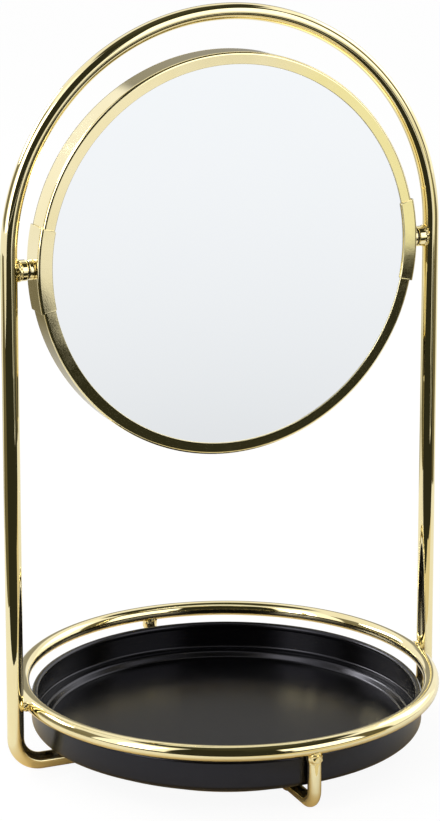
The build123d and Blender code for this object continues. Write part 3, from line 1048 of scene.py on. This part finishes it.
@dataclass(frozen=True)
class WallZone:
    """A patch of the studio's walls as polished faces show it.

    Azimuths are in degrees from -Y towards +X, elevations in degrees above the floor.
    """

    azimuth: Span
    elevation: Span
    brightness: float
    softness: float = 4.0


@dataclass(frozen=True)
class FloorCard:
    """A card on the floor that only polished faces show, such as where the white table ends.

    Where second_brightness is set, the card fades to it over fade_span. The colour tints the card, and a
    card on a higher layer lies over those below.
    """

    name: str
    corners: tuple[Span, ...]
    brightness: float
    second_brightness: float | None = None
    fade: Fade = Fade.BY_NEARNESS
    fade_span: Span = (1 / 0.5, 1 / 2.5)
    colour: Colour = WHITE
    layer: int = 1


@dataclass(frozen=True)
class SoftBox:
    """An area lamp: where it hangs, what it faces, its width and height in metres, and its power in watts."""

    name: str
    place: Place
    aim: Place
    size: Span
    power: float

    def hang(self) -> None:
        """Puts the lamp in the scene."""
        lamp = bpy.data.lights.new(self.name, "AREA")
        lamp.shape, lamp.energy = "RECTANGLE", self.power
        lamp.size, lamp.size_y = self.size
        made = linked(self.name, lamp)
        made.location = self.place
        made.rotation_euler = (Vector(self.aim) - Vector(self.place)).to_track_quat("-Z", "Y").to_euler()


@dataclass
class Studio:
    """White table and backdrop, soft lamps, the unlit parts of the room, and the camera.

    Perfectly sharp faces, which are the mirror glasses alone, show a plain pale set without the dark zones
    and cards. Is Singular Ray tells them from the polished bars.
    """

    floor_half: float = 6.0
    reach: float = 5.0
    card_lift: float = 0.5 * MM
    camera_place: Place = (-0.49928, -1.13863, 0.49588)
    camera_turn: float = 23.53
    camera_dip: float = 10.48
    camera_clip: Span = (0.05, 50.0)
    focal: float = 117.1
    sensor: float = 36.0
    shift_y: float = -0.25
    soft_light: float = 0.7
    open_wall: float = 1.05
    floor_matt: float = 0.8
    floor_shade: float = 0.09
    floor_white: float = 0.925
    floor_in_gloss: float = 0.98
    # Painted shade: the floor that the mirror glasses show is darker near the object.
    mirror_near_shade: float = 0.815
    mirror_far: float = 0.995
    mirror_span: Span = (1 / 0.5, 1 / 2.5)
    floor_glow: tuple[Span, ...] = (
        (0.0, 0.0), (0.09, 0.02), (0.13, 0.12), (0.2, 0.6), (0.3, 0.95), (0.5, 1.0))
    # Painted gold bounce light and shade: a warm brown on the floor near the object, as polished faces show
    # it.
    painted_bounce_tints: tuple[tuple[float, Colour], ...] = (
        (0.0, (0.78, 0.57, 0.28)), (0.103, (0.80, 0.61, 0.32)), (0.132, (0.95, 0.94, 0.90)))
    dim_tints: tuple[tuple[float, Colour], ...] = (
        (0.03, (1.0, 1.0, 0.62)), (0.15, (1.0, 0.88, 0.5)), (0.4, WHITE))
    zones: tuple[WallZone, ...] = (
        WallZone((-97.0, -56.0), (-20.0, 55.0), 1.4),
        WallZone((7.0, 50.0), (2.0, 44.0), 1.9),
        WallZone((7.0, 50.0), (-20.0, -2.0), 0.86),
        WallZone((72.0, 118.0), (-20.0, 55.0), 1.25),
        WallZone((53.0, 70.0), (-20.0, 42.0), 0.14),
        WallZone((-120.0, -99.0), (-20.0, 40.0), 0.25),
        WallZone((-143.0, -99.0), (-20.0, 16.0), 0.22),
        WallZone((144.0, 176.0), (-20.0, 27.0), 0.34),
        WallZone((-52.0, 4.0), (-20.0, 95.0), 0.03),
        WallZone((-52.0, 9.0), (-20.0, 13.0), 0.03),
        WallZone((-10.0, 60.0), (41.0, 100.0), 0.04),
        WallZone((60.0, 125.0), (57.0, 100.0), 0.04, 5.0),
        WallZone((-185.0, 185.0), (68.0, 100.0), 0.06, 6.0))
    lamps: tuple[SoftBox, ...] = (
        SoftBox("left soft box", (-1.3, -0.45, 0.75), (0, 0, 0.2), (0.5, 1.2), 6.0),
        SoftBox("rear left soft box", (-0.89, 1.06, 0.87), (0, 0, 0.1), (1.0, 0.28), 11.0),
        SoftBox("right soft box", (1.3, 0.3, 0.9), (0, 0, 0.2), (0.8, 0.8), 2.5))

    def build(self) -> None:
        """Sets up the whole studio."""
        self.make_world()
        self.make_floor()
        for lamp in self.lamps:
            lamp.hang()
        for card in self.floor_cards():
            self.make_floor_card(card)
        self.make_camera()
        bpy.context.scene.view_settings.view_transform = "Standard"

    @staticmethod
    def by_ray(bench: NodeBench, plain: Socket, in_gloss: Socket, in_view: Socket) -> Socket:
        """Gives each kind of ray its own surface.

        Args:
            bench: The node tree.
            plain: The surface that lights the object.
            in_gloss: The surface that polished faces and glass show.
            in_view: The surface that the camera sees.

        Returns:
            The mixed surface.
        """
        path = bench.add("ShaderNodeLightPath").outputs
        gloss = bench.maths("MAXIMUM", path["Is Glossy Ray"], path["Is Transmission Ray"])
        return bench.choose(path["Is Camera Ray"], bench.choose(gloss, plain, in_gloss), in_view)

    @staticmethod
    def in_mirror(bench: NodeBench) -> Socket:
        """A factor that is 1 for what the mirror glasses show."""
        return bench.add("ShaderNodeLightPath").outputs["Is Singular Ray"]

    @staticmethod
    def distance(bench: NodeBench) -> Socket:
        """The distance from the object, in metres."""
        place = bench.add("ShaderNodeTexCoord").outputs["Object"]
        return bench.add("ShaderNodeVectorMath", operation="LENGTH", in_Vector=place).outputs["Value"]

    def fade_value(self, bench: NodeBench, fade: Fade) -> Socket:
        """The value that a card's brightness follows.

        Args:
            bench: The card's node tree.
            fade: What it follows.

        Returns:
            The value.
        """
        if fade is Fade.BY_X:
            place = bench.add("ShaderNodeTexCoord").outputs["Object"]
            return bench.add("ShaderNodeSeparateXYZ", in_Vector=place).outputs["X"]
        return bench.maths("DIVIDE", 1.0, self.distance(bench))

    def mirror_shaded_level(self, bench: NodeBench) -> Socket:
        """The brightness of the floor in the mirror glasses, with painted shade: darker near the object."""
        nearness = self.fade_value(bench, Fade.BY_NEARNESS)
        return bench.mapped(nearness, self.mirror_span, (self.mirror_near_shade, self.mirror_far))

    @staticmethod
    def band(bench: NodeBench, value: Socket, span: Span, soft: float) -> Socket:
        """Marks where a value lies inside a span.

        Args:
            bench: The node tree.
            value: The value.
            span: The span.
            soft: How far the edges fall off outside it.

        Returns:
            A factor that is 1 inside.
        """
        edges = ((span[0] - soft, span[0]), (span[1] + soft, span[1]))
        sides = (bench.mapped(value, edge, (0.0, 1.0), "SMOOTHSTEP") for edge in edges)
        return bench.maths("MULTIPLY", *sides)

    def wall_brightness(self, bench: NodeBench) -> Socket:
        """The brightness of the studio's walls by direction, from the list of zones.

        Args:
            bench: The world's node tree.

        Returns:
            The brightness.
        """
        view = bench.add("ShaderNodeTexCoord").outputs["Generated"]
        parts = bench.add("ShaderNodeSeparateXYZ", in_Vector=view).outputs
        turn = bench.maths("ARCTAN2", parts["X"], bench.maths("MULTIPLY", parts["Y"], -1.0))
        azimuth = bench.maths("DEGREES", turn)
        elevation = bench.maths("DEGREES", bench.maths("ARCSINE", parts["Z"]))
        level: Socket | float = self.open_wall
        for zone in self.zones:
            across = self.band(bench, azimuth, zone.azimuth, zone.softness)
            up = self.band(bench, elevation, zone.elevation, zone.softness)
            level = bench.blend(bench.maths("MULTIPLY", across, up), level, zone.brightness)
        return level

    def make_world(self) -> None:
        """White for the camera, the walls for polished faces, and a plain soft light for the rest."""
        world = bpy.data.worlds.new("studio")
        bpy.context.scene.world = world
        world.use_nodes = True
        bench = NodeBench(world.node_tree)
        level = bench.blend(self.in_mirror(bench), self.wall_brightness(bench), self.mirror_far)
        tint = bench.ramp(level, self.dim_tints)
        walls = bench.first("ShaderNodeBackground", in_Color=tint, in_Strength=level)
        soft = bench.first("ShaderNodeBackground", in_Color=(*WHITE, 1.0), in_Strength=self.soft_light)
        white = bench.first("ShaderNodeBackground", in_Color=(*WHITE, 1.0), in_Strength=1.0)
        bench.add("ShaderNodeOutputWorld", in_Surface=self.by_ray(bench, soft, walls, white))

    def make_floor(self) -> None:
        """A pale floor: white with a faint shadow in view, and dim under the object in polished faces, where
        it is lit for real in a painted warm brown that stands for gold bounce light and shade.
        """
        h = self.floor_half
        mesh = bpy.data.meshes.new("floor")
        mesh.from_pydata([(-h, -h, 0), (h, -h, 0), (h, h, 0), (-h, h, 0)], [], [(0, 1, 2, 3)])
        material, bench = new_material("pale floor")
        matt, shade = (bench.first("ShaderNodeBsdfDiffuse", in_Color=(grey, grey, grey, 1.0))
                       for grey in (self.floor_matt, self.floor_shade))
        white, clear = (bench.first("ShaderNodeEmission", in_Color=(*WHITE, 1.0), in_Strength=level)
                        for level in (self.floor_white, self.floor_in_gloss))
        in_view = bench.add("ShaderNodeAddShader")
        bench.feed(in_view.inputs[0], shade)
        bench.feed(in_view.inputs[1], white)
        away = self.distance(bench)
        glow = bench.ramp(away, tuple((radius, (level, level, level)) for radius, level in self.floor_glow))
        # Painted gold bounce light and shade: near the object, the floor that polished faces show is lit for
        # real in a warm brown set by distance.
        under = bench.first("ShaderNodeBsdfDiffuse", in_Color=bench.ramp(away, self.painted_bounce_tints))
        # Painted shade: in the mirror glasses the floor glows darker nearer the object.
        calm = bench.first("ShaderNodeEmission", in_Strength=self.mirror_shaded_level(bench))
        in_gloss = bench.choose(self.in_mirror(bench), bench.choose(glow, under, clear), calm)
        surface = self.by_ray(bench, matt, in_gloss, in_view.outputs["Shader"])
        bench.add("ShaderNodeOutputMaterial", in_Surface=surface)
        mesh.materials.append(material)
        linked("floor", mesh)

    def floor_cards(self) -> list[FloorCard]:
        """The cards round the white table. A white lane between them faces the plane mirror.

        Returns:
            The cards, with their corners in metres.
        """
        far = self.reach
        table_front = ((-0.07, -0.165), (0.0, -0.195), (0.05, -0.24), (0.09, -0.29))
        table_right = ((0.24, -0.272), (0.33, -0.25))
        lane_left = ((0.19, -0.495), (0.165, -0.54), (0.163, -0.66), (0.165, -0.715), (0.125, -0.745),
                     (0.165, -1.0), (0.15, -1.6), (0.5, -far))
        lane_right = ((0.60, -0.93), (0.515, -0.80), (0.45, -0.70), (0.37, -0.60), (0.315, -0.55),
                      (0.275, -0.505))
        lane_far = ((2.4, -far), (1.5, -3.0), (1.09, -2.0), (0.88, -1.5), (0.74, -1.2), (0.63, -1.0))
        return [
            FloorCard("front left dark", (
                (-0.34, -0.04), (-0.265, -0.075), (-0.21, -0.11), (-0.14, -0.15), *table_front, *lane_left,
                (-far, -far), (-2.8, -2.2), (-1.1, -0.9), (-1.03, -0.50), (-1.01, -0.24), (-0.98, -0.10),
                (-0.95, -0.03), (-0.6, -0.05)), 0.03),
            FloorCard("front right dark", (
                table_front[-1], *table_right, (0.42, -0.26), (0.58, -0.52), (0.70, -0.80), (0.80, -1.0),
                *lane_right, lane_left[0]), 0.03),
            # Painted shade: the lane is darker nearer the object.
            FloorCard("lane before the mirror", (*lane_left, *lane_far, *lane_right),
                      self.mirror_near_shade, self.mirror_far, fade_span=self.mirror_span),
            FloorCard("dim middle of the lane", (
                (0.20, -0.525), (0.188, -0.56), (0.186, -0.60), (0.19, -0.66), (0.20, -0.72), (0.22, -0.80),
                (0.25, -0.90), (0.283, -1.0), (0.33, -1.13), (0.655, -1.13), (0.59, -1.0), (0.54, -0.90),
                (0.482, -0.80), (0.42, -0.705), (0.385, -0.66), (0.343, -0.61), (0.295, -0.56),
                (0.262, -0.527)), 0.085, layer=2),
            FloorCard("warm right of the lane", (
                lane_right[0], *reversed(lane_far), (3.6, -far), (2.1, -2.6), (1.2, -1.3), (1.0, -1.12)),
                0.12, 0.97, fade_span=(1 / 1.15, 1 / 1.30), colour=(1.0, 1.0, 0.76)),
            # Painted gold bounce light and shade: the table just before the tray shows dimmer and warm in
            # polished faces.
            FloorCard("painted bounce before the tray", (
                *table_front, *table_right, (0.36, -0.24), (0.27, -0.20), (0.16, -0.14), (0.10, -0.13),
                (0.0, -0.145)), 0.80, colour=(1.0, 0.88, 0.60)),
            FloorCard("right grey", (
                (0.42, -0.26), (0.50, -0.10), (0.50, -0.02), (1.8, -0.2), (3.0, -1.2), (1.6, -1.1),
                (0.80, -1.0), (0.70, -0.80), (0.58, -0.52)), 0.17),
            FloorCard("far right grey", (
                (1.0, -1.12), (0.80, -1.0), (1.6, -1.1), (3.0, -1.2), (far, -3.0), (2.1, -2.6),
                (1.2, -1.3)), 0.2),
            FloorCard("left grey", (
                (-0.34, 0.38), (-0.34, -0.04), (-0.6, -0.05), (-1.5, -0.09), (-1.56, 0.58), (-0.75, 0.58),
                (-0.5, 0.45)), 0.15),
            FloorCard("rear left grey", (
                (-0.60, 1.25), (-0.30, 0.60), (-0.17, 0.38), (0.12, 0.38), (0.12, 0.52), (0.02, 0.53),
                (-0.15, 0.64), (-0.30, 1.25)), 0.20, 0.75, Fade.BY_X, (-0.22, 0.10)),
        ]

    def make_floor_card(self, card: FloorCard) -> None:
        """Lays one card on the floor, where only polished faces show it.

        Args:
            card: The card.
        """
        mesh = bpy.data.meshes.new(card.name)
        height = card.layer * self.card_lift
        mesh.from_pydata([(x, y, height) for x, y in card.corners], [], [tuple(range(len(card.corners)))])
        material, bench = new_material(card.name)
        level: Socket | float = card.brightness
        if card.second_brightness is not None:
            followed = self.fade_value(bench, card.fade)
            level = bench.mapped(followed, card.fade_span, (card.brightness, card.second_brightness))
        in_mirror = self.in_mirror(bench)
        # In the mirror glasses a card shows the floor's painted shade, darker nearer the object.
        strength = bench.blend(in_mirror, level, self.mirror_shaded_level(bench))
        dyed = bench.add("ShaderNodeMix", data_type="RGBA", blend_type="MULTIPLY",
                         in_Factor=bench.maths("SUBTRACT", 1.0, in_mirror))
        inputs = {socket.identifier: socket for socket in dyed.inputs}
        bench.feed(inputs["A_Color"], bench.ramp(strength, self.dim_tints))
        bench.feed(inputs["B_Color"], (*card.colour, 1.0))
        colour = next(socket for socket in dyed.outputs if socket.identifier == "Result_Color")
        glow = bench.first("ShaderNodeEmission", in_Color=colour, in_Strength=strength)
        bench.add("ShaderNodeOutputMaterial", in_Surface=glow)
        mesh.materials.append(material)
        made = linked(card.name, mesh)
        made.visible_camera = made.visible_diffuse = made.visible_shadow = False

    def make_camera(self) -> None:
        """The camera at the photograph's place, dipped towards the object."""
        data = bpy.data.cameras.new("camera")
        data.lens, data.sensor_width, data.shift_y = self.focal, self.sensor, self.shift_y
        data.clip_start, data.clip_end = self.camera_clip
        camera = linked("camera", data)
        camera.location = self.camera_place
        camera.rotation_euler = (math.radians(90.0 - self.camera_dip), 0.0, math.radians(-self.camera_turn))
        bpy.context.scene.camera = camera


def main() -> None:
    """Builds the object's sub-assemblies in order, then the studio."""
    logging.basicConfig(level=logging.INFO, format="%(name)s: %(message)s")
    BarStand(BarTree()).build()
    MirrorHead().build()
    DressingTray().build()
    KeptPieces().build()
    Studio().build()


if __name__ == "__main__":
    main()
